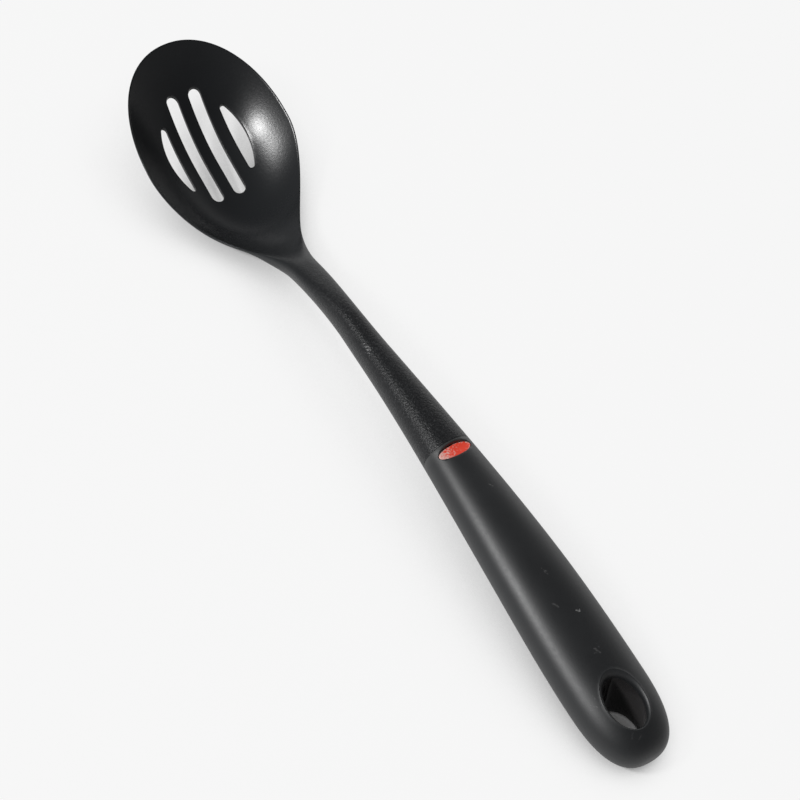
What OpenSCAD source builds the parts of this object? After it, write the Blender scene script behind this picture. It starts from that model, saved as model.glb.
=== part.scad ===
// Slotted spoon with a soft grip, lying hollow side up: bowl at -X, hanging eye at +X

/* [Lengths] */
// Bowl tip to the narrowest place of the neck
bowl_len = 111; // [105:1:119]
// Narrowest place of the neck to the joint with the grip
neck_len = 97; // [87:1:111]
// Joint to the end of the grip
grip_len = 135; // [126:1:150]
// Length of the rounded end of the grip
end_len = 31; // [28:1:34]
// Bowl tip to the widest place of the bowl
wide_at = 44; // [40:1:48]
// Bowl tip to the deepest place of the bowl
deep_at = 37; // [34:1:41]
// Where the dish of the bowl runs out, before the narrowest place of the neck
dish_out = 4; // [3:1:10]
// Where the bowl wall starts to thicken, before the narrowest place of the neck
thick_out = 26; // [22:1:30]
// Length over which the flat root of the neck grows into its full oval
root_len = 33; // [28:1:38]

/* [Widths] */
// Width of the bowl over the rim
bowl_w = 65; // [58:0.5:72]
// Width of the neck at its narrowest
neck_w = 9; // [8.6:0.1:12]
// What the root of the neck is wider than the rest
root_wide = 2.3; // [1.6:0.1:3]
// Width of the grip at its widest
grip_w = 32.4; // [30:0.2:36]
// Roundness of the bowl tip in plan, 2 is an ellipse
tip_round = 2.1; // [1.9:0.1:2.4]
// Roundness of the grip end in plan, 2 is an ellipse
end_round = 2.7; // [2.2:0.1:3]

/* [Thickness] */
// Wall of the bowl
wall_t = 1.8; // [1.6:0.1:2.4]
// Depth of the bowl below its rim line
dish_d = 17.5; // [14:0.5:20]
// What is left of the dish at the root of the neck
neck_dish = 0.9; // [0:0.1:2]
// Height of the neck at its narrowest
neck_t = 14.2; // [12:0.1:16]
// Share by which the upper side is flatter at the root of the neck
root_flat = 0.42; // [0.3:0.02:0.5]
// Height of the grip at its thickest
grip_t = 21.5; // [20:0.5:25]
// Soft layer of the grip
skin_t = 3; // [2.4:0.1:3.4]

/* [Side profile, heights of the middle line over the first guess of the table] */
// Rim at the bowl tip
tip_h = 37.5; // [34:0.5:41]
// Rim at the widest place of the bowl
wide_h = 22.5; // [21:0.5:24]
// Rim at the back of the bowl
back_h = 9.8; // [9:0.1:11.5]
// Root of the neck
root_h = 13.3; // [12:0.1:15]
// Narrowest place of the neck
neck_h = 19.1; // [17:0.1:21]
// Middle of the neck
arch_h = 22.7; // [21:0.1:25.5]
// Joint of neck and grip
joint_h = 22.5; // [21:0.5:24.5]
// Middle of the grip
palm_h = 19; // [17.5:0.5:20.5]
// Widest place of the grip
heel_h = 12; // [11:0.5:13]
// End of the grip
end_h = 8.5; // [8:0.5:10]

/* [Slots] */
// Width of the two long slots
slot_w = 5.2; // [4.6:0.1:5.6]
// Distance between neighbouring slot lines
slot_pitch = 10; // [9.4:0.1:10.6]
// Start and end of the long slots from the bowl tip
long_slot = [14, 56.5];
// Start and end of the two curved side slots from the bowl tip
side_slot = [23.5, 50];
// Width of the side slots at their middle
side_slot_w = 5.4; // [4.8:0.1:6]
// Corner radius of the side slots
slot_corner = 1.2; // [0.8:0.1:1.6]

/* [Hanging eye] */
// Middle of the eye from the end of the grip
eye_from_end = 17.9; // [16.5:0.1:19]
// Eye along the grip
eye_len = 19; // [17:0.2:20.6]
// Eye across the grip
eye_w = 13.8; // [12:0.2:14.8]
// Lean of the eye towards the bowl
eye_lean = 13; // [0:1:14]

/* [Badge] */
// Width of the badge window across the grip
badge_w = 13.6; // [12.4:0.2:13.8]
// Length of the window along the grip
badge_len = 5.6; // [5:0.2:6.4]
// Soft layer left between the joint and the window
badge_gap = 0.8; // [0.6:0.1:1.2]
// Badge face below the crown of the grip
badge_drop = 1.9; // [1.8:0.1:2.4]
// Thickness of the badge
badge_t = 1.8; // [1.6:0.1:2.2]

/* [Tang] */
// Length of the tang inside the grip
tang_len = 56; // [46:1:62]
// Width of the tang
tang_w = 10; // [8:0.5:11]
// Height of the tang
tang_t = 7; // [6:0.5:7.5]
// Diameter of the two lock holes in the tang
lock_d = 5; // [4:0.5:6]

/* [Hidden] */
neck_x = bowl_len;
joint_x = bowl_len + neck_len;
total_len = joint_x + grip_len;
grip_x = total_len - end_len;
eye_x = total_len - eye_from_end;
thick_x = neck_x - thick_out;
dish_x = neck_x - dish_out;
// Sections start to grow round this far before the wall thickens
round_out = 8;
round_x = thick_x - round_out;
// Points round a section and sections along each length
ring_n = 48;
tip_n = 14;
body_n = 13;
end_n = 11;
// Section exponents: a shell with a rounded lip, and a full oval bar
shell_exp = 8;
bar_exp = 2.2;
// Rise of the dish wall behind the tip
dish_exp = 1.05;
// Overlap of joined solids and reach of cutters past a face
lap = 8;
past = 60;
nylon = [0.13, 0.13, 0.14];
core_grey = [0.22, 0.22, 0.23];
soft_black = [0.16, 0.16, 0.17];
red = [0.85, 0.2, 0.16];

// Middle line as [x, z] knots
knots = [
  [0, tip_h],
  [wide_at, wide_h],
  [(wide_at + neck_x) / 2, back_h],
  [(wide_at + 3 * neck_x) / 4, root_h],
  [neck_x, neck_h],
  [(neck_x + joint_x) / 2, arch_h],
  [joint_x, joint_h],
  [(joint_x + grip_x) / 2, palm_h],
  [grip_x, heel_h],
  [total_len, end_h]
];
last = len(knots) - 1;

function mix(a, b, u) = a + (b - a) * u;
function ease(u) = let (v = max(0, min(1, u))) v * v * (3 - 2 * v);
function toward(a) = [cos(a), sin(a)];
function rounded(u, n) = pow(max(0, 1 - pow(max(0, u), n)), 1 / n);

// Slope of one span and of the curve at one knot
function span(i) = knots[i + 1][0] - knots[i][0];
function rise(i) = (knots[i + 1][1] - knots[i][1]) / span(i);
function inner_slope(i) = (rise(i - 1) * span(i) + rise(i) * span(i - 1)) / (span(i - 1) + span(i));
function slope(i) = i == 0 ? 1.5 * rise(0) - 0.5 * inner_slope(1)
  : i == last ? 1.5 * rise(last - 1) - 0.5 * inner_slope(last - 1)
  : inner_slope(i);
function cubic(i, u) = (2 * u - 3) * u * u * (knots[i][1] - knots[i + 1][1]) + knots[i][1]
  + span(i) * u * (1 - u) * ((1 - u) * slope(i) - u * slope(i + 1));
function find(x, i) = i == last - 1 || x < knots[i + 1][0] ? i : find(x, i + 1);
function mid_line(x) = let (i = find(x, 0)) cubic(i, (x - knots[i][0]) / span(i));

// How much a section belongs to the flat root of the neck
function root(x) = ease((x - thick_x) / thick_out) * (1 - ease((x - neck_x) / root_len));

// Half width, height and dish of the section at x, drawn in by inset on the grip
function end_factor(x, inset) = rounded((x - grip_x) / (total_len - inset - grip_x), end_round);
function half_w(x, inset) =
  x < wide_at ? bowl_w / 2 * rounded(1 - x / wide_at, tip_round)
  : x < neck_x ? (mix(bowl_w, neck_w, ease((x - wide_at) / (neck_x - wide_at))) + root_wide * root(x)) / 2
  : x < grip_x ? (mix(neck_w, grip_w, ease((x - neck_x) / (grip_x - neck_x)))
    + root_wide * root(x)) / 2 - inset
  : (grip_w / 2 - inset) * end_factor(x, inset);
function full_t(x, inset) =
  x < thick_x ? wall_t * rounded(1 - 2 * x / wall_t, 2)
  : x < neck_x ? mix(wall_t, neck_t, ease((x - thick_x) / thick_out))
  : x < grip_x ? mix(neck_t, grip_t, ease((x - neck_x) / (grip_x - neck_x))) - 2 * inset
  : (grip_t - 2 * inset) * end_factor(x, inset);
function dish(x) =
  x < deep_at ? dish_d * pow(1 - pow(1 - x / deep_at, 2), dish_exp)
  : x < dish_x ? mix(dish_d, neck_dish, ease((x - deep_at) / (dish_x - deep_at)))
  : neck_dish * (1 - ease((x - dish_x) / (joint_x - dish_x)));
function section_exp(x) = mix(shell_exp, bar_exp, ease((x - round_x) / (dish_x - round_x)));

function ring(x, inset) = [
  for (k = [0:ring_n - 1])
    let (a = 360 * k / ring_n, s = cos(a))
    let (h = full_t(x, inset) / 2 * rounded(abs(s), section_exp(x)))
    let (up = sin(a) < 0 ? -1 : 1 - root_flat * root(x))
    [x, s * half_w(x, inset), mid_line(x) - dish(x) * (1 - s * s) + up * h]
];

// Stations: close together at both rounded ends
function tip_xs() = [for (i = [1:tip_n]) wide_at * (1 - cos(90 * i / tip_n))];
function span_xs(a, b, n) = [for (i = [1:n]) mix(a, b, i / n)];
function end_xs(inset) = [for (i = [1:end_n]) mix(grip_x, total_len - inset, sin(90 * i / (end_n + 1)))];
function head_xs() = concat(tip_xs(), span_xs(wide_at, neck_x, body_n), span_xs(neck_x, joint_x, body_n));
function grip_xs(inset) = concat([joint_x], span_xs(joint_x, grip_x, body_n), end_xs(inset));
function rings(xs, inset) = [for (x = xs) each ring(x, inset)];

// Faces of m rings from point number o on, mirrored about the middle plane
function next(k) = (k + 1) % ring_n;
function right_side(k) = 4 * k < ring_n || 4 * k >= 3 * ring_n;
function quad(a, b, c, d, k) = right_side(k) ? [[a, b, c], [a, c, d]] : [[a, b, d], [b, c, d]];
function side_faces(o, m) = [
  for (i = [0:m - 2], k = [0:ring_n - 1])
    let (p = o + i * ring_n, q = p + ring_n)
    each quad(p + k, q + k, q + next(k), p + next(k), k)
];
function first_fan(c, o) = [for (k = [0:ring_n - 1]) [c, o + k, o + next(k)]];
function last_fan(c, o) = [for (k = [0:ring_n - 1]) [c, o + next(k), o + k]];
function turned(faces) = [for (f = faces) [f[2], f[1], f[0]]];

// Solid through the sections xs, closed by fans to a point at x0 and at x1
module loft(xs, x0, x1, inset) {
  m = len(xs);
  body = rings(xs, inset);
  ends = [[x0, 0, mid_line(x0)], [x1, 0, mid_line(x1)]];
  n = len(body);
  polyhedron(
    concat(body, ends),
    concat(side_faces(0, m), first_fan(n, 0), last_fan(n + 1, n - ring_n))
  );
}

// Hollow soft layer, open at the joint
module sleeve() {
  outer = rings(grip_xs(0), 0);
  inner = rings(grip_xs(skin_t), skin_t);
  m = len(grip_xs(0));
  n = len(outer);
  tips = [
    [total_len, 0, mid_line(total_len)],
    [total_len - skin_t, 0, mid_line(total_len - skin_t)]
  ];
  polyhedron(
    concat(outer, inner, tips),
    concat(
      side_faces(0, m),
      last_fan(2 * n, n - ring_n),
      turned(side_faces(n, m)),
      turned(last_fan(2 * n + 1, 2 * n - ring_n)),
      [for (k = [0:ring_n - 1]) each quad(n + k, k, next(k), n + next(k), k)]
    )
  );
}

// Lowest point of bowl and grip, which rests on the table
lowest = min([for (x = concat(head_xs(), grip_xs(0))) mid_line(x) - dish(x) - full_t(x, 0) / 2]);

module placed() {
  translate([-total_len / 2, 0, -lowest])
    children();
}

// Flat bar that goes on from the neck into the grip
module tang() {
  drop = mid_line(joint_x + tang_len) - mid_line(joint_x);
  translate([joint_x, 0, mid_line(joint_x)])
    rotate([0, -atan2(drop, tang_len), 0])
      difference() {
        translate([-lap, -tang_w / 2, -tang_t / 2])
          cube([tang_len + lap, tang_w, tang_t]);
        for (f = [1, 2])
          translate([f * tang_len / 3, 0, 0])
            cylinder(h = 2 * tang_t, d = lock_d, center = true, $fn = 64);
      }
}

module long_slots() {
  for (y = [-slot_pitch / 2, slot_pitch / 2]) {
    for (x = [long_slot[0] + slot_w / 2, long_slot[1] - slot_w / 2])
      translate([x, y, -past / 2])
        cylinder(h = 2 * past, d = slot_w, $fn = 64);
    translate([long_slot[0] + slot_w / 2, y - slot_w / 2, -past / 2])
      cube([long_slot[1] - long_slot[0] - slot_w, slot_w, 2 * past]);
  }
}

// Side slots: straight towards the middle, one arc towards the rim, rounded corners
module side_slots() {
  half = (side_slot[1] - side_slot[0]) / 2;
  corner_x = half - slot_corner;
  flat_w = side_slot_w - 2 * slot_corner;
  arc_r = (corner_x * corner_x + side_slot_w * flat_w) / (2 * flat_w);
  arc_y = side_slot_w - arc_r;
  turn = atan2(slot_corner - arc_y, corner_x);
  outline = concat(
    [for (i = [0:8]) [corner_x, slot_corner] + slot_corner * toward(mix(-90, turn, i / 8))],
    [for (i = [1:23]) [0, arc_y] + arc_r * toward(mix(turn, 180 - turn, i / 24))],
    [for (i = [0:8]) [-corner_x, slot_corner] + slot_corner * toward(mix(180 - turn, 270, i / 8))]
  );
  for (m = [0, 1])
    mirror([0, m, 0])
      translate([side_slot[0] + half, (3 * slot_pitch - slot_w) / 2, -past / 2])
        linear_extrude(2 * past)
          polygon(outline);
}

module oval(length, width) {
  polygon([
    for (k = [0:ring_n - 1])
      let (d = toward(360 * k / ring_n))
      [d[0] * length, d[1] * width] / 2
  ]);
}

module eye_cut() {
  translate([eye_x, 0, mid_line(eye_x)])
    rotate([0, -eye_lean, 0])
      linear_extrude(past, center = true)
        oval(eye_len, eye_w);
}

// Badge window: an oval just behind the joint, open to the top
badge_x = joint_x + badge_gap + badge_len / 2;
badge_z = mid_line(joint_x) + full_t(joint_x, 0) / 2 - badge_drop;

module window(z0, z1) {
  translate([badge_x, 0, z0])
    linear_extrude(z1 - z0)
      oval(badge_len, badge_w);
}

module spoon_head() {
  color(nylon)
    placed()
      difference() {
        union() {
          loft(head_xs(), 0, joint_x, 0);
          tang();
        }
        long_slots();
        side_slots();
      }
}

module handle_core() {
  color(core_grey)
    placed()
      difference() {
        loft(grip_xs(skin_t), joint_x, total_len - skin_t, skin_t);
        tang();
        eye_cut();
        window(badge_z - badge_t, badge_z + past);
      }
}

module soft_grip() {
  color(soft_black)
    placed()
      difference() {
        sleeve();
        eye_cut();
        window(badge_z - badge_t, badge_z + past);
      }
}

module badge_inlay() {
  color(red)
    placed()
      window(badge_z - badge_t, badge_z);
}

spoon_head();
handle_core();
soft_grip();
badge_inlay();
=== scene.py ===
import math

import bmesh
import bpy
import numpy as np
from mathutils import Matrix, Vector
from mathutils.geometry import delaunay_2d_cdt


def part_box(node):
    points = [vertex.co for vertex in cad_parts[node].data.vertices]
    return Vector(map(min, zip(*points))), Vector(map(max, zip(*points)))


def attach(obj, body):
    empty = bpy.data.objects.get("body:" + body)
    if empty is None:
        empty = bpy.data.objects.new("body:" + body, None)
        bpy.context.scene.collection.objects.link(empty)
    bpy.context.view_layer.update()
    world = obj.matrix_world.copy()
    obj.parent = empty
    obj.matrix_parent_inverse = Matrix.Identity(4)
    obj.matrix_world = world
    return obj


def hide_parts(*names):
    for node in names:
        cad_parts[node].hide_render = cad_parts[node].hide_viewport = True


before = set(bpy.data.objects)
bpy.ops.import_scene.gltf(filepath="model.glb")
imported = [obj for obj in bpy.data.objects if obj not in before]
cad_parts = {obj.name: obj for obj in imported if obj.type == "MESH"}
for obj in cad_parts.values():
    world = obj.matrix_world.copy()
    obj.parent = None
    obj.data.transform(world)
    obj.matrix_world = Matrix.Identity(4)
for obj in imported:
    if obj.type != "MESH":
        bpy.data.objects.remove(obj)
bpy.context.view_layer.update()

# Sizes of the part's source, in millimetres from the bowl tip
MM = 0.001
NECK_X = 111.0
JOINT_X = 208.0
GRIP_X = 312.0
TOTAL = 343.0
WIDE_AT = 44.0
DEEP_AT = 37.0
DISH_X = 107.0
THICK_X = 85.0
ROUND_X = 77.0
ROOT_LEN = 33.0
BOWL_W = 65.0
NECK_W = 9.0
ROOT_WIDE = 2.3
GRIP_W = 32.4
TIP_ROUND = 2.1
END_ROUND = 2.7
WALL_T = 1.8
DISH_D = 17.5
NECK_DISH = 0.9
NECK_T = 14.2
ROOT_FLAT = 0.42
GRIP_T = 21.5
SKIN_T = 3.0
SHELL_EXP = 8.0
BAR_EXP = 2.2
DISH_EXP = 1.05
SLOT_W = 5.2
SLOT_PITCH = 10.0
LONG_SLOT = (14.0, 56.5)
SIDE_SLOT = (23.5, 50.0)
SIDE_SLOT_W = 5.4
SLOT_CORNER = 1.2
EYE_X = 325.1
EYE_LEN = 19.0
EYE_W = 13.8
EYE_LEAN = math.radians(13)
BADGE_W = 13.6
BADGE_LEN = 5.6
BADGE_GAP = 0.8
BADGE_DROP = 1.9
BADGE_T = 1.8
TANG_LEN = 56.0
TANG_W = 10.0
TANG_T = 7.0
TANG_LAP = 8.0
LOCK_D = 5.0

# Middle line of the side profile as knots
KNOT_X = np.array([0, 44, 77.5, 94.25, 111, 159.5, 208, 260, 312, 343])
KNOT_Z = np.array([37.5, 22.5, 9.8, 13.3, 19.1, 22.7, 22.5, 19, 12, 8.5])

# Finer forms that only the looks have, in millimetres
EDGE_R = 0.15
SLOT_LIP = 0.06
RIM_LIP = 0.8
EYE_LIP_W = {1: 1.3, -1: 0.6}
EYE_LIP_DEEP = {1: 2.8, -1: 0.6}
EYE_LIP_TURN = {1: math.radians(55), -1: math.radians(90)}
EYE_BEAD = 0.07
EYE_BEAD_TOP = 2 * EYE_BEAD
EYE_BEAD_FOOT = 5 * EYE_BEAD
WINDOW_LIP = 0.45
WINDOW_TURN = math.radians(72)
WINDOW_OUT = 3.0
LIP_FADE = (74.0, 96.0)
EYE_BELLY = 0.35
EYE_NARROWS = 1.4
EYE_SPAN = {1: EYE_W, -1: EYE_W - EYE_NARROWS}
BADGE_PLAY = 0.05
BADGE_BEVEL = 0.25

# Mesh density and tolerances, in millimetres unless said otherwise
HALF_TURN = math.pi
QUARTER = math.pi / 2
HEAD_ANGLES = np.linspace(0, HALF_TURN, 97)
GRIP_ANGLES = np.linspace(0, HALF_TURN, 81)
TIP_STATIONS = 61
BOWL_STATIONS = 69
NECK_STATIONS = 90
GRIP_STATIONS = 100
END_STATIONS = 48
EDGE_STATIONS = 6
LIP_RINGS = 5
EYE_LIP_RINGS = 9
EYE_POINTS = 96
EYE_WALL_LEVELS = np.linspace(0, 1, 9)
BADGE_POINTS = 96
BADGE_RINGS = (0.9, 0.75, 0.6, 0.45, 0.3, 0.15)
LOCK_POINTS = 40
SLOT_STEP = 0.5
SLOT_END_POINTS = 40
SLOT_CORNER_POINTS = 24
SLOT_ARC_POINTS = 60
LEAST_LOOP_POINTS = 12
SEAT_STEPS = 60
SEAT_GAIN = 0.8
SLOPE_RUN = 0.01
CLEAR = 0.45
CDT_GAP = 1e-6
TINY = 1e-9
WELD_M = 2e-7
SHARP = math.radians(38)
# Where a patch round openings takes the place of the regular grid: x range and angle range
SLOT_BLOCK = ((9, 62), (math.radians(38), math.radians(142)))
EYE_BLOCK = ((308, 341.2), (math.radians(28), math.radians(152)))


def mix(a, b, u):
    return a + (b - a) * u


def ease(u):
    v = np.clip(u, 0, 1)
    return v * v * (3 - 2 * v)


def rounded(u, n):
    return np.maximum(0, 1 - np.maximum(0, u) ** n) ** (1 / n)


def circle(q):
    """Quarter circle that rises from 0 at q = 0 to 1 at q = 1."""
    return np.sqrt(1 - (1 - np.clip(q, 0, 1)) ** 2)


def knot_slopes():
    """Slope of the middle line at each knot, with no bend at the two ends."""
    span = np.diff(KNOT_X)
    rise = np.diff(KNOT_Z) / span
    inner = (rise[:-1] * span[1:] + rise[1:] * span[:-1]) / (span[:-1] + span[1:])
    first = 1.5 * rise[0] - 0.5 * inner[0]
    last = 1.5 * rise[-1] - 0.5 * inner[-1]
    return np.concatenate([[first], inner, [last]])


KNOT_SLOPE = knot_slopes()


def mid_line(x):
    """Height of the middle line, a smooth curve through the knots."""
    x = np.asarray(x, float)
    i = np.clip(np.searchsorted(KNOT_X, x, side="right") - 1, 0, len(KNOT_X) - 2)
    span = KNOT_X[i + 1] - KNOT_X[i]
    u = (x - KNOT_X[i]) / span
    bend = (1 - u) * KNOT_SLOPE[i] - u * KNOT_SLOPE[i + 1]
    return (2 * u - 3) * u * u * (KNOT_Z[i] - KNOT_Z[i + 1]) + KNOT_Z[i] + span * u * (1 - u) * bend


def end_factor(x, inset):
    return rounded((x - GRIP_X) / (TOTAL - inset - GRIP_X), END_ROUND)


def root(x):
    """How much a section belongs to the flat root of the neck."""
    return ease((x - THICK_X) / (NECK_X - THICK_X)) * (1 - ease((x - NECK_X) / ROOT_LEN))


def half_w(x, inset=0.0):
    tip = BOWL_W / 2 * rounded(1 - x / WIDE_AT, TIP_ROUND)
    wider = ROOT_WIDE * root(x)
    bowl = (mix(BOWL_W, NECK_W, ease((x - WIDE_AT) / (NECK_X - WIDE_AT))) + wider) / 2
    bar = (mix(NECK_W, GRIP_W, ease((x - NECK_X) / (GRIP_X - NECK_X))) + wider) / 2 - inset
    end = (GRIP_W / 2 - inset) * end_factor(x, inset)
    return np.select([x < WIDE_AT, x < NECK_X, x < GRIP_X], [tip, bowl, bar], end)


def full_t(x, inset=0.0):
    bowl = mix(WALL_T, NECK_T, ease((x - THICK_X) / (NECK_X - THICK_X)))
    bar = mix(NECK_T, GRIP_T, ease((x - NECK_X) / (GRIP_X - NECK_X))) - 2 * inset
    end = (GRIP_T - 2 * inset) * end_factor(x, inset)
    return np.select([x < NECK_X, x < GRIP_X], [bowl, bar], end)


def dish(x):
    front = DISH_D * np.maximum(0, 1 - (1 - x / DEEP_AT) ** 2) ** DISH_EXP
    back = mix(DISH_D, NECK_DISH, ease((x - DEEP_AT) / (DISH_X - DEEP_AT)))
    neck = NECK_DISH * (1 - ease((x - DISH_X) / (JOINT_X - DISH_X)))
    return np.select([x < DEEP_AT, x < DISH_X], [front, back], neck)


def section_exp(x):
    return mix(SHELL_EXP, BAR_EXP, ease((x - ROUND_X) / (DISH_X - ROUND_X)))


def share(x, y, inset):
    """How far out a point is across its section, 1 at the edge."""
    return np.clip(np.abs(y) / np.maximum(half_w(x, inset), TINY), 0, 1)


def edge_inset(gap):
    """How far a rounded end edge draws the surface in, gap millimetres from the end."""
    return EDGE_R * (1 - circle(gap / EDGE_R))


def rim_distance(x, y):
    """Distance to the bowl's rim in plan."""
    u = np.clip(1 - x / WIDE_AT, 0, 1)
    v = np.abs(y) / (BOWL_W / 2)
    level = 1 - u ** TIP_ROUND - v ** TIP_ROUND
    pull_x = u ** (TIP_ROUND - 1) / WIDE_AT
    pull_y = v ** (TIP_ROUND - 1) / (BOWL_W / 2)
    front = level / np.maximum(TIP_ROUND * np.hypot(pull_x, pull_y), TINY)
    slope = (half_w(x + SLOPE_RUN) - half_w(x - SLOPE_RUN)) / (2 * SLOPE_RUN)
    back = (half_w(x) - np.abs(y)) / np.hypot(1, slope)
    return np.maximum(0, np.where(x < WIDE_AT, front, back))


def head_width(x):
    return half_w(x, edge_inset(JOINT_X - x))


def head_z(x, y, side):
    """Height of the head's upper (side 1) or lower (side -1) surface."""
    inset = edge_inset(JOINT_X - x)
    s = share(x, y, inset)
    bar = (full_t(x) / 2 - inset) * rounded(s, section_exp(x))
    lip = WALL_T / 2 * circle(rim_distance(x, y) / (RIM_LIP if side > 0 else WALL_T / 2))
    half = mix(lip, bar, ease((x - LIP_FADE[0]) / (LIP_FADE[1] - LIP_FADE[0])))
    up = 1 - ROOT_FLAT * root(x) if side > 0 else -1
    return mid_line(x) - dish(x) * (1 - s * s) + up * half


def grip_z(x, y, side, inset):
    """Height of the grip's upper or lower surface, drawn in by inset."""
    s = share(x, y, inset)
    return mid_line(x) + side * full_t(x, inset) / 2 * rounded(s, BAR_EXP)


BADGE_X = JOINT_X + BADGE_GAP + BADGE_LEN / 2
BADGE_Z = float(mid_line(JOINT_X) + full_t(JOINT_X) / 2 - BADGE_DROP)
EYE_AXIS = np.array([-math.sin(EYE_LEAN), 0, math.cos(EYE_LEAN)])
EYE_ALONG = np.array([math.cos(EYE_LEAN), 0, math.sin(EYE_LEAN)])
ACROSS = np.array([0.0, 1.0, 0.0])
EYE_MID = np.array([EYE_X, 0, float(mid_line(EYE_X))])
# The row frame has its origin under the middle of the spoon, on the table
TABLE_Z = BADGE_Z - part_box("badge_inlay")[1].z / MM
ORIGIN = np.array([TOTAL / 2, 0, TABLE_Z])


def row(point):
    """A point in millimetres from the bowl tip, in the row frame in metres."""
    return Vector((np.asarray(point, float) - ORIGIN) * MM)


class Shape:
    """Points in millimetres from the bowl tip and the faces between them."""

    def __init__(self):
        self.points = []
        self.faces = []
        self.count = 0

    def add(self, points, faces):
        start = self.count
        self.points.append(np.asarray(points, float).reshape(-1, 3))
        self.faces.extend(tuple(int(k) + start for k in face) for face in faces)
        self.count += len(self.points[-1])

    def strip(self, one, two, closed=True):
        """Quads between two rows of the same number of points."""
        n = len(one)
        steps = range(n if closed else n - 1)
        quads = [(k, (k + 1) % n, n + (k + 1) % n, n + k) for k in steps]
        self.add(np.concatenate([one, two]), quads)

    def fan(self, ring):
        """Closes a ring with triangles to its middle."""
        n = len(ring)
        middle = np.mean(ring, axis=0, keepdims=True)
        self.add(np.concatenate([ring, middle]), [(k, (k + 1) % n, n) for k in range(n)])


def inside(loop, points):
    """Which points of the plane lie inside a closed loop."""
    x = points[:, :1]
    y = points[:, 1:2]
    x0, y0 = loop[:, 0], loop[:, 1]
    x1, y1 = np.roll(x0, -1), np.roll(y0, -1)
    crosses = (y0 > y) != (y1 > y)
    at = x0 + (y - y0) / np.where(y1 == y0, TINY, y1 - y0) * (x1 - x0)
    return (crosses & (x < at)).sum(1) % 2 == 1


def nearest(points, loop):
    gaps = np.hypot(points[:, None, 0] - loop[None, :, 0], points[:, None, 1] - loop[None, :, 1])
    return gaps.min(1)


def triangulate(plan, loops, border, holes):
    """Triangles between points of a plane that follow the loops, inside border and outside holes."""
    edges = [(loop[k - 1], loop[k]) for loop in loops for k in range(len(loop))]
    made = delaunay_2d_cdt([Vector(p) for p in plan.tolist()], edges, [], 0, CDT_GAP)
    source = np.array([numbers[0] for numbers in made[3]])
    faces = source[np.array(made[2])]
    middles = plan[faces].mean(1)
    good = inside(plan[border], middles)
    for hole in holes:
        good &= ~inside(plan[hole], middles)
    return faces[good]


def border_numbers(rows, cols):
    numbers = np.arange(rows * cols).reshape(rows, cols)
    return np.concatenate([numbers[0, :-1], numbers[:-1, -1], numbers[-1, :0:-1], numbers[:0:-1, 0]])


def patch(points, openings):
    """Mesh of a block of grid points round openings, each a list of rings from its edge outwards."""
    rows, cols = points.shape[:2]
    flat = points.reshape(-1, 3)
    border = border_numbers(rows, cols)
    keep = np.ones(len(flat), bool)
    keep[border] = False
    for rings in openings:
        outer = rings[-1][0]
        keep &= ~inside(outer, flat[:, :2]) & (nearest(flat[:, :2], outer) > CLEAR)
    numbers = np.concatenate([border, np.nonzero(keep)[0]])
    plan = [flat[numbers, :2]]
    places = [flat[numbers]]
    loops = [list(range(len(border)))]
    holes = []
    count = len(numbers)
    for rings in openings:
        holes.append(list(range(count, count + len(rings[0][0]))))
        for ring_plan, ring_places in rings:
            loops.append(list(range(count, count + len(ring_plan))))
            plan.append(ring_plan)
            places.append(ring_places)
            count += len(ring_plan)
    faces = triangulate(np.concatenate(plan), loops, loops[0], holes)
    return np.concatenate(places), faces


def skin(shape, xs, angles, width, height, blocks=()):
    """One side of a loft over stations and angles.

    A block is an x range, an angle range and the openings in it.
    """
    x = np.repeat(xs[:, None], len(angles), 1)
    y = width(xs)[:, None] * np.cos(angles)[None, :]
    points = np.stack([x, y, height(x, y)], -1)
    cells = np.ones((len(xs) - 1, len(angles) - 1), bool)
    for (x0, x1), (a0, a1), openings in blocks:
        i = np.nonzero((xs >= x0) & (xs <= x1))[0]
        j = np.nonzero((angles >= a0) & (angles <= a1))[0]
        cells[i[0]:i[-1], j[0]:j[-1]] = False
        shape.add(*patch(points[i[0]:i[-1] + 1, j[0]:j[-1] + 1], openings))
    numbers = np.arange(points.shape[0] * points.shape[1]).reshape(points.shape[:2])
    quads = np.stack([numbers[:-1, :-1], numbers[1:, :-1], numbers[1:, 1:], numbers[:-1, 1:]], -1)
    shape.add(points.reshape(-1, 3), quads[cells])
    return points


def link(name, mesh):
    piece = bpy.data.objects.new(name, mesh)
    bpy.context.scene.collection.objects.link(piece)
    return piece


def make_piece(name, shape):
    """One welded mesh object from a shape, in the row frame and not below the table."""
    points = (np.concatenate(shape.points) - ORIGIN) * MM
    points[:, 2] = np.maximum(points[:, 2], 0)
    mesh = bpy.data.meshes.new(name)
    mesh.from_pydata(points.tolist(), [], shape.faces)
    work = bmesh.new()
    work.from_mesh(mesh)
    bmesh.ops.remove_doubles(work, verts=work.verts, dist=WELD_M)
    bmesh.ops.dissolve_degenerate(work, edges=work.edges, dist=WELD_M)
    bmesh.ops.recalc_face_normals(work, faces=work.faces)
    work.to_mesh(mesh)
    work.free()
    return link(name, mesh)


def combine(piece, tool, operation):
    """Cuts a tool from a piece or joins it on, and removes the tool."""
    step = piece.modifiers.new("combine", "BOOLEAN")
    step.object = tool
    step.operation = operation
    step.solver = "EXACT"
    made = bpy.data.meshes.new_from_object(piece.evaluated_get(bpy.context.evaluated_depsgraph_get()))
    piece.modifiers.clear()
    old = piece.data
    piece.data = made
    bpy.data.meshes.remove(old)
    made.name = piece.name
    bpy.data.objects.remove(tool)


def smooth(piece):
    piece.data.shade_smooth()
    piece.data.set_sharp_from_angle(angle=SHARP)


# Outlines in plan


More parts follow.
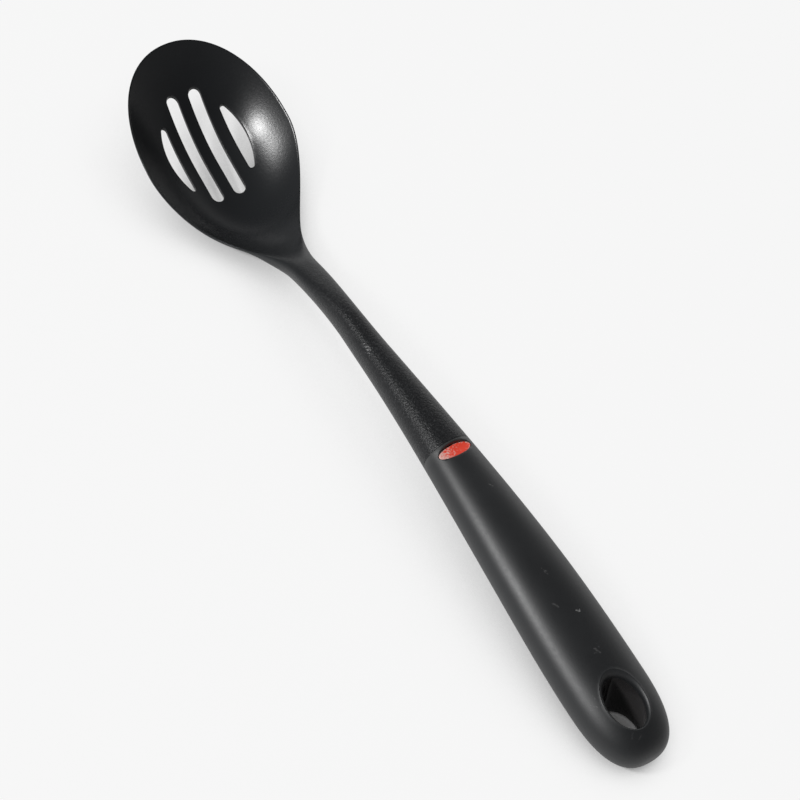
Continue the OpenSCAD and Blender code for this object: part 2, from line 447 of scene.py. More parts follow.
def resample(loop, step):
    """Closed loop with points about one step apart."""
    ends = np.concatenate([loop, loop[:1]])
    along = np.concatenate([[0], np.cumsum(np.hypot(*np.diff(ends, axis=0).T))])
    at = np.linspace(0, along[-1], max(LEAST_LOOP_POINTS, int(along[-1] / step)), endpoint=False)
    return np.stack([np.interp(at, along, ends[:, k]) for k in (0, 1)], -1)


def arc(centre, radius, start, end, n):
    a = np.linspace(start, end, n)
    return np.stack([centre[0] + radius * np.cos(a), centre[1] + radius * np.sin(a)], -1)


def outward(loop):
    """Unit normals of a loop that runs anticlockwise."""
    run = np.roll(loop, -1, 0) - np.roll(loop, 1, 0)
    normal = np.stack([run[:, 1], -run[:, 0]], -1)
    return normal / np.hypot(normal[:, 0], normal[:, 1])[:, None]


def long_slot(y):
    r = SLOT_W / 2
    far = arc((LONG_SLOT[1] - r, y), r, -QUARTER, QUARTER, SLOT_END_POINTS)
    near = arc((LONG_SLOT[0] + r, y), r, QUARTER, 3 * QUARTER, SLOT_END_POINTS)
    return resample(np.concatenate([far, near]), SLOT_STEP)


def side_slot(sign):
    """Straight towards the middle of the bowl, one arc towards the rim, rounded corners."""
    half = (SIDE_SLOT[1] - SIDE_SLOT[0]) / 2
    corner_x = half - SLOT_CORNER
    flat_w = SIDE_SLOT_W - 2 * SLOT_CORNER
    arc_r = (corner_x ** 2 + SIDE_SLOT_W * flat_w) / (2 * flat_w)
    arc_y = SIDE_SLOT_W - arc_r
    turn = math.atan2(SLOT_CORNER - arc_y, corner_x)
    loop = np.concatenate([
        arc((corner_x, SLOT_CORNER), SLOT_CORNER, -QUARTER, turn, SLOT_CORNER_POINTS),
        arc((0, arc_y), arc_r, turn, HALF_TURN - turn, SLOT_ARC_POINTS),
        arc((-corner_x, SLOT_CORNER), SLOT_CORNER, HALF_TURN - turn, 3 * QUARTER, SLOT_CORNER_POINTS),
    ])
    loop = resample(loop, SLOT_STEP)
    inner_y = (3 * SLOT_PITCH - SLOT_W) / 2
    loop = loop + np.array([SIDE_SLOT[0] + half, inner_y])
    return loop if sign > 0 else loop[::-1] * np.array([1, -1])


def oval(length, width, n):
    a = np.linspace(0, 2 * math.pi, n, endpoint=False)
    return np.stack([length / 2 * np.cos(a), width / 2 * np.sin(a)], -1)


# Spoon head


def head_stations():
    tip = WIDE_AT * (1 - np.cos(np.linspace(0, QUARTER, TIP_STATIONS)))
    bowl = np.linspace(WIDE_AT, NECK_X, BOWL_STATIONS)[1:]
    neck = np.linspace(NECK_X, JOINT_X - EDGE_R, NECK_STATIONS)[1:]
    edge = JOINT_X - EDGE_R * (1 - np.sin(np.linspace(0, QUARTER, EDGE_STATIONS)))[1:]
    return np.concatenate([tip, bowl, neck, edge])


def slot_rings(loop, side):
    """Rings of a slot's rounded edge on one side of the bowl, from the slot's wall outwards."""
    normal = outward(loop)
    rings = []
    for a in np.linspace(0, QUARTER, LIP_RINGS):
        plan = loop + normal * SLOT_LIP * (1 - math.cos(a))
        z = head_z(plan[:, 0], plan[:, 1], side) - side * SLOT_LIP * (1 - math.sin(a))
        rings.append((plan, np.column_stack([plan, z])))
    return rings


def lock_plate():
    """Tang with its two lock holes, in its own plane."""
    corners = np.array([[-TANG_LAP, -1], [TANG_LEN, -1], [TANG_LEN, 1], [-TANG_LAP, 1]])
    loops = [corners * np.array([1, TANG_W / 2])]
    for part in (1, 2):
        loops.append(oval(LOCK_D, LOCK_D, LOCK_POINTS) + np.array([part * TANG_LEN / 3, 0]))
    return loops


def tang_tool(loops):
    """Solid of the tang, along the line from the joint into the grip."""
    start = np.array([JOINT_X, 0, float(mid_line(JOINT_X))])
    drop = float(mid_line(JOINT_X + TANG_LEN)) - start[2]
    slope = math.atan2(drop, TANG_LEN)
    along = np.array([math.cos(slope), 0, math.sin(slope)])
    up = np.array([-math.sin(slope), 0, math.cos(slope)])
    plan = np.concatenate(loops)
    count = np.cumsum([0] + [len(loop) for loop in loops])
    numbers = [list(range(a, b)) for a, b in zip(count[:-1], count[1:])]
    faces = triangulate(plan, numbers, numbers[0], numbers[1:])
    flat = start + plan[:, :1] * along + plan[:, 1:] * ACROSS
    shape = Shape()
    for side in (1, -1):
        shape.add(flat + side * TANG_T / 2 * up, faces)
    for ring in numbers:
        shape.strip(flat[ring] + TANG_T / 2 * up, flat[ring] - TANG_T / 2 * up)
    return make_piece("tang_tool", shape)


def make_head():
    shape = Shape()
    slots = [long_slot(y) for y in (-SLOT_PITCH / 2, SLOT_PITCH / 2)]
    slots += [side_slot(sign) for sign in (-1, 1)]
    xs = head_stations()
    ends = []
    rings = {}
    for side in (1, -1):
        rings[side] = [slot_rings(loop, side) for loop in slots]
        block = (*SLOT_BLOCK, rings[side])
        points = skin(shape, xs, HEAD_ANGLES, head_width, lambda x, y: head_z(x, y, side), [block])
        ends.append(points[-1])
    for top, low in zip(rings[1], rings[-1]):
        shape.strip(top[0][1], low[0][1])
    shape.fan(np.concatenate([ends[0], ends[1][-2:0:-1]]))
    piece = make_piece("spoon_head_form", shape)
    combine(piece, tang_tool(lock_plate()), "UNION")
    smooth(piece)
    return piece


# Grip: soft layer, core and badge


def grip_stations(inset, edge):
    first = np.array([])
    if edge:
        first = JOINT_X + edge * (1 - np.sin(np.linspace(QUARTER, 0, EDGE_STATIONS)))[:-1]
    body = np.linspace(JOINT_X + edge, GRIP_X, GRIP_STATIONS)
    end = mix(GRIP_X, TOTAL - inset, np.sin(np.linspace(0, QUARTER, END_STATIONS)))[1:]
    return np.concatenate([first, body, end])


def eye_ring(grow, side, inset, sink=0.0):
    """Ring round the eye on the grip's surface, sunk along the eye's axis."""
    plan = oval(EYE_LEN + 2 * grow, EYE_SPAN[side] + 2 * grow, EYE_POINTS)
    base = EYE_MID + plan[:, :1] * EYE_ALONG + plan[:, 1:] * ACROSS
    reach = np.zeros((EYE_POINTS, 1))
    for _ in range(SEAT_STEPS):
        point = base + reach * EYE_AXIS
        gap = grip_z(point[:, 0], point[:, 1], side, inset) - point[:, 2]
        reach += gap[:, None] / EYE_AXIS[2] * SEAT_GAIN
    point = base + reach * EYE_AXIS
    return point[:, :2], point - side * sink * EYE_AXIS


def eye_lip(side):
    """Rings of the eye's rounded edge on the soft layer, with a faint bead round the upper one."""
    width, deep, last = EYE_LIP_W[side], EYE_LIP_DEEP[side], EYE_LIP_TURN[side]
    rings = []
    for a in np.linspace(0, last, EYE_LIP_RINGS):
        grow = width * (1 - math.cos(a)) / (1 - math.cos(last))
        rings.append(eye_ring(grow, side, 0.0, deep * (1 - math.sin(a) / math.sin(last))))
    if side > 0:
        rings.append(eye_ring(width + EYE_BEAD_TOP, side, 0.0, -EYE_BEAD))
        rings.append(eye_ring(width + EYE_BEAD_FOOT, side, 0.0))
    return rings


def eye_block(rings):
    return (*EYE_BLOCK, [rings])


def outer_width(x):
    return half_w(x, edge_inset(x - JOINT_X))


def outer_z(x, y, side):
    return grip_z(x, y, side, edge_inset(x - JOINT_X))


def window_tool():
    """Solid of the badge window, with a rounded edge at the grip's surface."""
    loop = oval(BADGE_LEN, BADGE_W, BADGE_POINTS)
    normal = outward(loop)
    loop = loop + np.array([BADGE_X, 0])
    rings = [np.column_stack([loop, np.full(len(loop), BADGE_Z - BADGE_T)])]
    for a in np.linspace(0, WINDOW_TURN, LIP_RINGS):
        plan = loop + normal * WINDOW_LIP * (1 - math.cos(a))
        z = grip_z(plan[:, 0], plan[:, 1], 1, 0.0) - WINDOW_LIP * (1 - math.sin(a))
        rings.append(np.column_stack([plan, z]))
    rise = np.full(len(loop), math.cos(WINDOW_TURN))
    reach = WINDOW_OUT * np.column_stack([normal * math.sin(WINDOW_TURN), rise])
    rings.append(rings[-1] + reach)
    above = rings[-1].copy()
    above[:, 2] = above[:, 2].max() + WINDOW_OUT
    rings.append(above)
    shape = Shape()
    for one, two in zip(rings[:-1], rings[1:]):
        shape.strip(one, two)
    shape.fan(rings[0])
    shape.fan(rings[-1])
    return make_piece("window_tool", shape)


def make_soft_grip():
    shape = Shape()
    out_xs = grip_stations(0.0, EDGE_R)
    in_xs = grip_stations(SKIN_T, 0.0)
    for side in (1, -1):
        lip = eye_lip(side)
        inner_ring = eye_ring(0.0, side, SKIN_T)
        outer = skin(shape, out_xs, GRIP_ANGLES, outer_width,
                     lambda x, y: outer_z(x, y, side), [eye_block(lip)])
        inner = skin(shape, in_xs, GRIP_ANGLES, lambda x: half_w(x, SKIN_T),
                     lambda x, y: grip_z(x, y, side, SKIN_T), [eye_block([inner_ring])])
        shape.strip(lip[0][1], inner_ring[1])
        shape.strip(outer[0], inner[0], closed=False)
    piece = make_piece("soft_grip_form", shape)
    combine(piece, window_tool(), "DIFFERENCE")
    smooth(piece)
    return piece


def eye_wall_grow(u):
    """How much wider the core's eye wall is at a share of its depth, most at half depth."""
    return EYE_BELLY * (1 - abs(2 * u - 1))


def make_core():
    shape = Shape()
    xs = grip_stations(SKIN_T, 0.0)
    rings = {}
    ends = []
    for side in (1, -1):
        rings[side] = eye_ring(0.0, side, SKIN_T)
        points = skin(shape, xs, GRIP_ANGLES, lambda x: half_w(x, SKIN_T),
                      lambda x, y: grip_z(x, y, side, SKIN_T), [eye_block([rings[side]])])
        ends.append(points[0])
    shape.fan(np.concatenate([ends[0], ends[1][-2:0:-1]]))
    top, low = rings[1][1], rings[-1][1]
    wall = []
    for u in EYE_WALL_LEVELS:
        ring = mix(top, low, u)
        centre = EYE_MID + ((ring - EYE_MID) @ EYE_AXIS)[:, None] * EYE_AXIS
        out = ring - centre
        size = np.linalg.norm(out, axis=1, keepdims=True)
        wall.append(centre + out * (1 + eye_wall_grow(u) / size))
    for one, two in zip(wall[:-1], wall[1:]):
        shape.strip(one, two)
    piece = make_piece("handle_core_form", shape)
    combine(piece, tang_tool(lock_plate()[:1]), "DIFFERENCE")
    combine(piece, window_tool(), "DIFFERENCE")
    smooth(piece)
    return piece


def make_badge():
    """Oval plate with a rounded upper edge."""
    shape = Shape()
    base = oval(BADGE_LEN - 2 * BADGE_PLAY, BADGE_W - 2 * BADGE_PLAY, BADGE_POINTS)
    normal = outward(base)
    rings = []

    def ring(draw_in, z):
        plan = base - normal * draw_in + np.array([BADGE_X, 0])
        return np.column_stack([plan, np.full(len(plan), z)])

    rings.append(ring(0.0, BADGE_Z - BADGE_T))
    for a in np.linspace(0, QUARTER, LIP_RINGS):
        rings.append(ring(BADGE_BEVEL * (1 - math.cos(a)), BADGE_Z - BADGE_BEVEL * (1 - math.sin(a))))
    rim = rings[-1]
    middle = np.array([BADGE_X, 0, BADGE_Z])
    for scale in BADGE_RINGS:
        rings.append(middle + (rim - middle) * scale)
    for one, two in zip(rings[:-1], rings[1:]):
        shape.strip(one, two)
    shape.fan(rings[0])
    shape.fan(rings[-1])
    piece = make_piece("badge_inlay_form", shape)
    smooth(piece)
    return piece


# Materials: linear RGB colours; noises as scale per metre, detail, roughness; bumps as strength, metres
# A fade runs between two places in millimetres from the bowl tip
NOISE_RANGE = (0.3, 0.7)
MASK_RANGE = (0.0, 1.0)

NYLON_CLOUD = (60.0, 5.0, 0.6)
NYLON_FINE = (2600.0, 2.0)
NYLON_GRAIN = (1100.0, 3.5, 0.65)
NYLON_DARK = (0.0082, 0.0087, 0.0096, 1)
NYLON_LIGHT = (0.0128, 0.0136, 0.0148, 1)
# Painted light: a lighter tone laid over the back of the bowl
NYLON_PAINTED_LIGHT = (0.0165, 0.0177, 0.0192, 1)
# Light specks on the neck: moulded grain, lightened further as painted glints
NYLON_SPECK_AND_GLINT = (0.028, 0.029, 0.031, 1)
NYLON_NICK = (0.3, 0.3, 0.3, 1)
NYLON_GLOSS = 0.26
NYLON_BUMP = (0.8, 0.00036)
NECK_FADE = (NECK_X - 16, NECK_X + 26)
DULL_FADE = (WIDE_AT + 12, NECK_X - 8)
# Where the painted light at the back of the bowl fades in
PAINTED_LIGHT_FADE = (DEEP_AT - 17, THICK_X - 20)
SPECK_AND_GLINT_RANGE = (0.54, 0.72)
BOWL_ROUGH = (0.22, 0.26)
NECK_ROUGH = (0.31, 0.41)
GRAIN_HEIGHT = (0.07, 1.0)

SOFT_CLOUD = (55.0, 6.0, 0.62)
SOFT_PATCHES = (650.0, 4.0, 0.6)
SOFT_GRAIN = (1500.0, 3.0, 0.6)
SOFT_DARK = (0.0092, 0.01, 0.0113, 1)
SOFT_LIGHT = (0.015, 0.0162, 0.0176, 1)
SOFT_RUBBED = (0.045, 0.047, 0.046, 1)
SOFT_MARK = (0.2, 0.2, 0.2, 1)
SOFT_GLOSS = 0.55
RUBBED_FADE = (JOINT_X + 4.0, JOINT_X + 0.2)
WORN_RANGE = (0.36, 0.64)
SOFT_ROUGH = (0.45, 0.5)
PATCH_BUMP = (0.05, 0.0002)
GRAIN_BUMP = (0.08, 0.0002)
MARK_BUMP = (0.3, 0.0002)

CORE_CLOUD = (120.0, 3.0)
CORE_GRAIN = (900.0, 2.0)
CORE_DARK = (0.02, 0.019, 0.0194, 1)
CORE_LIGHT = (0.028, 0.0262, 0.0268, 1)
CORE_ROUGH = (0.12, 0.2)
CORE_BUMP = (0.05, 0.0002)

RED_CHIPS = (1300.0, 4.0, 0.65)
RED_CLOUD = (300.0, 3.0)
RED_DARK = (0.74, 0.045, 0.024, 1)
RED_LIGHT = (0.86, 0.085, 0.045, 1)
RED_PALE = (0.74, 0.5, 0.45, 1)
RED_ROUGH = (0.36, 0.55)
RED_BUMP = (0.12, 0.0002)
WORN_END = (-6.3, 3.6)
WORN_RIM = (0.8, 0.97)
END_WEAR = 0.34
RIM_WEAR = 0.3
CHIP_RANGE = (0.35, 0.65)
CHIP_WEAR = (0.0, 0.5)
PALE_RANGE = (0.42, 0.64)
PALE_SHARE = (0.0, 0.85)

# Scratches seen in the photograph: x and y of both ends and width in millimetres, and depth as a share
NECK_SCRATCHES = [
    (156.2, -3.9, 157.0, -3.2, 0.28, 0.8),
    (157.3, -3.0, 158.0, -2.9, 0.25, 0.6),
    (157.9, -3.9, 158.9, -3.4, 0.32, 0.9),
    (159.2, -4.3, 159.9, -4.1, 0.28, 0.7),
    (155.0, -3.6, 155.5, -3.4, 0.22, 0.5),
]
GRIP_SCRATCHES = [
    (230.4, 2.4, 231.3, 3.3, 0.28, 0.6),
    (268.0, 0.4, 269.5, 1.5, 0.4, 0.26),
    (269.2, 0.6, 270.8, 1.0, 0.34, 0.2),
    (281.0, -3.4, 282.9, -2.3, 0.5, 0.2),
    (287.0, 2.7, 287.7, 3.7, 0.34, 1.0),
    (287.7, 3.7, 287.0, 4.2, 0.3, 0.9),
    (302.0, 0.6, 304.4, 1.4, 0.44, 0.26),
    (303.6, -0.6, 304.6, 1.0, 0.34, 0.2),
    (300.8, 2.2, 302.6, 2.4, 0.32, 0.18),
    (318.4, -11.6, 320.2, -10.2, 0.22, 0.25),
    (319.6, -12.2, 321.0, -11.0, 0.2, 0.2),
    (315.2, -9.6, 317.6, -9.1, 0.18, 0.15),
    (334.0, -4.2, 335.4, -5.4, 0.34, 0.15),
    (336.0, -1.5, 336.8, -3.0, 0.36, 0.12),
]
WANDER = 1.4 * MM
WANDER_NOISE = {"Scale": 700.0, "Detail": 2.0}
NOISE_MIDDLE = (0.5, 0.5, 0.5)
BREAK_RANGE = (0.38, 0.56)
BREAK_DEPTH = (0.2, 1.0)
STROKE_CORE = 0.4


def add(tree, kind, settings=None, sockets=None):
    """New shader node. A socket takes a plain value, or is linked to another node's output."""
    made = tree.nodes.new(kind)
    for key, value in (settings or {}).items():
        setattr(made, key, value)
    for key, value in (sockets or {}).items():
        if isinstance(value, bpy.types.NodeSocket):
            tree.links.new(value, made.inputs[key])
        else:
            made.inputs[key].default_value = value
    return made


def noise(tree, place, scale, detail=3.0, rough=0.55):
    sockets = {"Vector": place, "Scale": scale, "Detail": detail, "Roughness": rough}
    return add(tree, "ShaderNodeTexNoise", None, sockets).outputs["Fac"]


def remap(tree, value, low, high, to_low=0.0, to_high=1.0, kind="LINEAR"):
    sockets = {"Value": value, "From Min": low, "From Max": high, "To Min": to_low, "To Max": to_high}
    return add(tree, "ShaderNodeMapRange", {"interpolation_type": kind}, sockets).outputs["Result"]


def maths(tree, operation, one, two):
    return add(tree, "ShaderNodeMath", {"operation": operation}, {0: one, 1: two}).outputs[0]


def vector(tree, operation, one, two, output="Vector"):
    return add(tree, "ShaderNodeVectorMath", {"operation": operation}, {0: one, 1: two}).outputs[output]


def tint(tree, share_of_two, one, two):
    sockets = {0: share_of_two, 6: one, 7: two}
    return add(tree, "ShaderNodeMix", {"data_type": "RGBA"}, sockets).outputs[2]


def tint_value(tree, share_of_two, one, two):
    sockets = {0: share_of_two, 2: one, 3: two}
    return add(tree, "ShaderNodeMix", {"data_type": "FLOAT"}, sockets).outputs[0]


def new_material(name):
    material = bpy.data.materials.new(name)
    material.use_nodes = True
    tree = material.node_tree
    shader = tree.nodes["Principled BSDF"]
    place = add(tree, "ShaderNodeTexCoord").outputs["Object"]
    return material, tree, shader, place


def bump(tree, height, strength, distance, under=None):
    sockets = {"Height": height, "Strength": strength, "Distance": distance}
    if under is not None:
        sockets["Normal"] = under
    return add(tree, "ShaderNodeBump", None, sockets).outputs["Normal"]


def stroke(tree, place, start, end, width):
    """Mask of a short scratch between two points of the surface, in millimetres from the bowl tip."""
    a = row(start)
    along = row(end) - a
    off = vector(tree, "SUBTRACT", place, tuple(a))
    at = vector(tree, "DOT_PRODUCT", off, tuple(along / along.length_squared), "Value")
    at = remap(tree, at, 0.0, 1.0)
    on_line = vector(tree, "MULTIPLY", tuple(along), at)
    gap = vector(tree, "DISTANCE", off, on_line, "Value")
    return remap(tree, gap, width * MM * STROKE_CORE, width * MM, 1.0, 0.0, "SMOOTHSTEP")


def connect(tree, shader, sockets):
    for key, value in sockets.items():
        tree.links.new(value, shader.inputs[key])


def on_neck(x, y):
    return (x, y, float(head_z(np.array(x), np.array(y), 1)))


def on_grip(x, y):
    return (x, y, float(grip_z(np.array(x), np.array(y), 1, 0.0)))


def highest(tree, masks):
    """The strongest of several masks."""
    total = masks[0]
    for mask in masks[1:]:
        total = maths(tree, "MAXIMUM", total, mask)
    return total


def scratches(tree, place, marks, surface, grain):
    """Mask of short uneven scratches on a surface, broken up by a fine noise."""
    masks = []
    sockets = {"Vector": place, **WANDER_NOISE}
    wander = add(tree, "ShaderNodeTexNoise", None, sockets).outputs["Color"]
    shift = vector(tree, "SUBTRACT", wander, NOISE_MIDDLE)
    bent = vector(tree, "ADD", place, vector(tree, "MULTIPLY", shift, (WANDER, WANDER, WANDER)))
    for x0, y0, x1, y1, width, depth in marks:
        line = stroke(tree, bent, surface(x0, y0), surface(x1, y1), width)
        masks.append(maths(tree, "MULTIPLY", line, depth))
    broken = remap(tree, grain, *BREAK_RANGE, *BREAK_DEPTH)
    return maths(tree, "MULTIPLY", highest(tree, masks), broken)


def along_spoon(tree, place, start, end):
    """0 before one place along the spoon and 1 after another, in millimetres from the bowl tip."""
    x = add(tree, "ShaderNodeSeparateXYZ", None, {"Vector": place}).outputs["X"]
    return remap(tree, x, (start - TOTAL / 2) * MM, (end - TOTAL / 2) * MM, 0.0, 1.0, "SMOOTHSTEP")


def nylon_material():
    """Satin black nylon: smooth in the bowl, lightened at its back by painted light, moulded grain on
    the neck.
    """
    material, tree, shader, place = new_material("satin_nylon")
    neck = along_spoon(tree, place, *NECK_FADE)
    dull = along_spoon(tree, place, *DULL_FADE)
    cloud = noise(tree, place, *NYLON_CLOUD)
    fine = noise(tree, place, *NYLON_FINE)
    grain = noise(tree, place, *NYLON_GRAIN)
    nick = scratches(tree, place, NECK_SCRATCHES, on_neck, fine)
    dark = tint(tree, cloud, NYLON_DARK, NYLON_LIGHT)
    # Painted light: the bowl is lightened from its middle back to the neck
    bowl_back = along_spoon(tree, place, *PAINTED_LIGHT_FADE)
    painted_light = maths(tree, "MULTIPLY", bowl_back, remap(tree, neck, *MASK_RANGE, 1.0, 0.0))
    greyed = tint(tree, painted_light, dark, NYLON_PAINTED_LIGHT)
    # Neck specks: partly moulded grain, partly painted glints
    speck = maths(tree, "MULTIPLY", remap(tree, grain, *SPECK_AND_GLINT_RANGE), neck)
    body = tint(tree, speck, greyed, NYLON_SPECK_AND_GLINT)
    colour = tint(tree, nick, body, NYLON_NICK)
    satin = remap(tree, grain, *NOISE_RANGE, *BOWL_ROUGH)
    rough = tint_value(tree, dull, satin, remap(tree, grain, *NOISE_RANGE, *NECK_ROUGH))
    height = maths(tree, "MULTIPLY", grain, remap(tree, neck, *MASK_RANGE, *GRAIN_HEIGHT))
    normal = bump(tree, height, *NYLON_BUMP)
    shader.inputs["Specular IOR Level"].default_value = NYLON_GLOSS
    connect(tree, shader, {"Base Color": colour, "Roughness": rough, "Normal": normal})
    return material


def soft_material():
    """Worn soft plastic: smooth, with polished clouds, a rubbed front edge and a few scratches."""
    material, tree, shader, place = new_material("worn_soft_black")
    cloud = noise(tree, place, *SOFT_CLOUD)
    patches = noise(tree, place, *SOFT_PATCHES)
    grain = noise(tree, place, *SOFT_GRAIN)
    marks = scratches(tree, place, GRIP_SCRATCHES, on_grip, grain)
    base = tint(tree, cloud, SOFT_DARK, SOFT_LIGHT)
    front = along_spoon(tree, place, *RUBBED_FADE)
    rubbed = tint(tree, maths(tree, "MULTIPLY", front, patches), base, SOFT_RUBBED)
    colour = tint(tree, marks, rubbed, SOFT_MARK)
    worn = tint_value(tree, cloud, patches, cloud)
    rough = remap(tree, worn, *WORN_RANGE, *SOFT_ROUGH)
    low = bump(tree, patches, *PATCH_BUMP)
    middle = bump(tree, grain, *GRAIN_BUMP, low)
    normal = bump(tree, marks, *MARK_BUMP, middle)
    shader.inputs["Specular IOR Level"].default_value = SOFT_GLOSS
    connect(tree, shader, {"Base Color": colour, "Roughness": rough, "Normal": normal})
    return material


def core_material():
    """Smooth rigid plastic of the core, seen inside the eye."""
    material, tree, shader, place = new_material("smooth_core")
    cloud = noise(tree, place, *CORE_CLOUD)
    colour = tint(tree, cloud, CORE_DARK, CORE_LIGHT)
    rough = remap(tree, cloud, *NOISE_RANGE, *CORE_ROUGH)
    normal = bump(tree, noise(tree, place, *CORE_GRAIN), *CORE_BUMP)
    connect(tree, shader, {"Base Color": colour, "Roughness": rough, "Normal": normal})
    return material


def red_material():
    """Bare red plastic, worn pale at one end and along its edge."""
    material, tree, shader, place = new_material("worn_red")
    split = add(tree, "ShaderNodeSeparateXYZ", None, {"Vector": place})
    y = split.outputs["Y"]
    off_x = maths(tree, "SUBTRACT", split.outputs["X"], (BADGE_X - TOTAL / 2) * MM)
    ax = maths(tree, "DIVIDE", off_x, BADGE_LEN / 2 * MM)
    ay = maths(tree, "DIVIDE", y, BADGE_W / 2 * MM)
    far_squared = maths(tree, "ADD", maths(tree, "MULTIPLY", ax, ax), maths(tree, "MULTIPLY", ay, ay))
    far = maths(tree, "SQRT", far_squared, 0.0)
    chips = noise(tree, place, *RED_CHIPS)
    cloud = noise(tree, place, *RED_CLOUD)
    end = remap(tree, y, WORN_END[0] * MM, WORN_END[1] * MM, 1.0, 0.0, "SMOOTHSTEP")
    rim = remap(tree, far, *WORN_RIM, 0.0, 1.0, "SMOOTHSTEP")
    end_wear = maths(tree, "MULTIPLY", end, END_WEAR)
    rim_wear = maths(tree, "MULTIPLY", rim, RIM_WEAR)
    wear = maths(tree, "ADD", end_wear, rim_wear)
    speck = remap(tree, chips, *CHIP_RANGE, *CHIP_WEAR)
    pale = remap(tree, maths(tree, "ADD", wear, speck), *PALE_RANGE, *PALE_SHARE)
    red = tint(tree, cloud, RED_DARK, RED_LIGHT)
    colour = tint(tree, pale, red, RED_PALE)
    rough = remap(tree, chips, *NOISE_RANGE, *RED_ROUGH)
    normal = bump(tree, chips, *RED_BUMP)
    connect(tree, shader, {"Base Color": colour, "Roughness": rough, "Normal": normal})
    return material


# Stage: floor and light, in metres
BACKGROUND = (0.939, 0.939, 0.939, 1)
FLOOR_COLOUR = (0.56, 0.56, 0.56, 1)
FLOOR_WHITE = 0.97
FLOOR_SIZE = 6.0
SHADOW_REACH = 0.06
SHADOW_SAMPLES = 8
OPEN_RANGE = (0.1, 0.9)
FLOOR_SEEN_BY = ("Is Camera Ray", "Is Glossy Ray", "Is Transmission Ray")
HORIZON_LIGHT = 1.0
ZENITH_LIGHT = 0.12
CEILING_FROM = 0.8
BRIGHT_WAY = (-0.75, 0.66, 0.0)
DIM_SIDE = 0.5
BRIGHT_SIDE = 2.2
BRIGHT_RANGE = (0.5, 0.98)
KEY_PLACE = (-0.1, -0.68, 0.725)
KEY_SIZE = (0.15, 0.15)
KEY_WATTS = 9.0


def make_floor():
    """Pale floor that shows white where nothing is near it and keeps the shadow under the spoon."""
    half = FLOOR_SIZE / 2
    mesh = bpy.data.meshes.new("floor")
    corners = [(-half, -half, 0), (half, -half, 0), (half, half, 0), (-half, half, 0)]
    mesh.from_pydata(corners, [], [(0, 1, 2, 3)])
    floor = link("floor", mesh)
    material = bpy.data.materials.new("pale_floor")
    material.use_nodes = True
    tree = material.node_tree
    tree.nodes.remove(tree.nodes["Principled BSDF"])
    matt = add(tree, "ShaderNodeBsdfDiffuse", None, {"Color": FLOOR_COLOUR})
    white = add(tree, "ShaderNodeEmission", None, {"Color": BACKGROUND, "Strength": 1.0})
    reach = {"Distance": SHADOW_REACH}
    open_sky = add(tree, "ShaderNodeAmbientOcclusion", {"samples": SHADOW_SAMPLES}, reach)
    open_part = remap(tree, open_sky.outputs["AO"], *OPEN_RANGE, 0.0, FLOOR_WHITE, "SMOOTHSTEP")
    path = add(tree, "ShaderNodeLightPath").outputs
    seen = highest(tree, [path[kind] for kind in FLOOR_SEEN_BY])
    amount = maths(tree, "MULTIPLY", seen, open_part)
    both = add(tree, "ShaderNodeMixShader", None, {0: amount, 1: matt.outputs[0], 2: white.outputs[0]})
    tree.links.new(both.outputs[0], tree.nodes["Material Output"].inputs["Surface"])
    mesh.materials.append(material)


def make_world():
    """White to the camera; as light, a pale wall round a dim ceiling, brighter on one side."""
    world = bpy.data.worlds.new("studio")
    bpy.context.scene.world = world
    world.use_nodes = True
    tree = world.node_tree
    back = tree.nodes["Background"]
    path = add(tree, "ShaderNodeLightPath")
    way = add(tree, "ShaderNodeTexCoord").outputs["Generated"]
    up = add(tree, "ShaderNodeSeparateXYZ", None, {"Vector": way}).outputs["Z"]
    height = remap(tree, up, 0.0, CEILING_FROM, HORIZON_LIGHT, ZENITH_LIGHT, "SMOOTHSTEP")
    towards = vector(tree, "DOT_PRODUCT", way, BRIGHT_WAY, "Value")
    side = remap(tree, towards, *BRIGHT_RANGE, DIM_SIDE, BRIGHT_SIDE, "SMOOTHSTEP")
    wall = maths(tree, "MULTIPLY", height, side)
    level = tint_value(tree, path.outputs["Is Camera Ray"], wall, 1.0)
    back.inputs["Color"].default_value = BACKGROUND
    tree.links.new(level, back.inputs["Strength"])


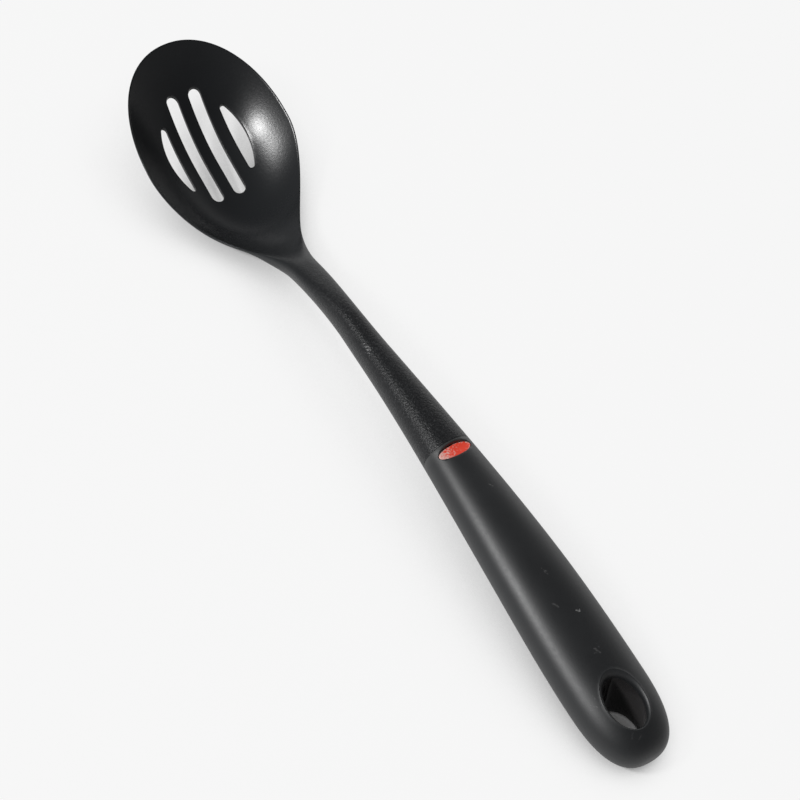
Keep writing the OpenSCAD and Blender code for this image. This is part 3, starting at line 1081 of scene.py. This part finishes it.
def make_lamp(name, place, size, watts):
    """Rectangular soft box that looks at the middle of the spoon."""
    data = bpy.data.lights.new(name, "AREA")
    data.shape = "RECTANGLE"
    data.size, data.size_y = size
    data.energy = watts
    lamp = bpy.data.objects.new(name, data)
    bpy.context.scene.collection.objects.link(lamp)
    lamp.location = place
    lamp.rotation_mode = "QUATERNION"
    lamp.rotation_quaternion = Vector(place).to_track_quat("Z", "Y")


# Camera fitted to the photograph: places in millimetres from the bowl tip
CAMERA_AZ = math.radians(-43.8224)
CAMERA_EL = math.radians(55.1921)
CAMERA_ROLL = 0.2282
CAMERA_DISTANCE = 966.999
CAMERA_TARGET = (176.118, 1.201, 15.0)
SENSOR = 36.0
FOCAL_PIXELS = 2570.354
IMAGE_PIXELS = 800


def make_camera():
    """Camera at the photograph's viewing angle."""
    back = Vector((
        math.cos(CAMERA_EL) * math.cos(CAMERA_AZ),
        math.cos(CAMERA_EL) * math.sin(CAMERA_AZ),
        math.sin(CAMERA_EL),
    ))
    right = Vector((0, 0, 1)).cross(back).normalized()
    up = back.cross(right)
    turned_right = math.cos(CAMERA_ROLL) * right + math.sin(CAMERA_ROLL) * up
    turned_up = math.cos(CAMERA_ROLL) * up - math.sin(CAMERA_ROLL) * right
    data = bpy.data.cameras.new("camera")
    data.sensor_width = SENSOR
    data.lens = FOCAL_PIXELS / IMAGE_PIXELS * SENSOR
    camera = bpy.data.objects.new("camera", data)
    bpy.context.scene.collection.objects.link(camera)
    turn = Matrix((turned_right, turned_up, back)).transposed()
    place = row(CAMERA_TARGET) + back * CAMERA_DISTANCE * MM
    camera.matrix_world = Matrix.Translation(place) @ turn.to_4x4()
    bpy.context.scene.camera = camera


def dress(piece, node, material):
    """Puts a piece in the place of a CAD node."""
    piece.data.materials.clear()
    piece.data.materials.append(material)
    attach(piece, "root")
    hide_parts(node)


bpy.context.scene.view_settings.view_transform = "Standard"
make_camera()
make_world()
make_floor()
make_lamp("key", KEY_PLACE, KEY_SIZE, KEY_WATTS)
dress(make_head(), "spoon_head", nylon_material())
dress(make_core(), "handle_core", core_material())
dress(make_soft_grip(), "soft_grip", soft_material())
dress(make_badge(), "badge_inlay", red_material())
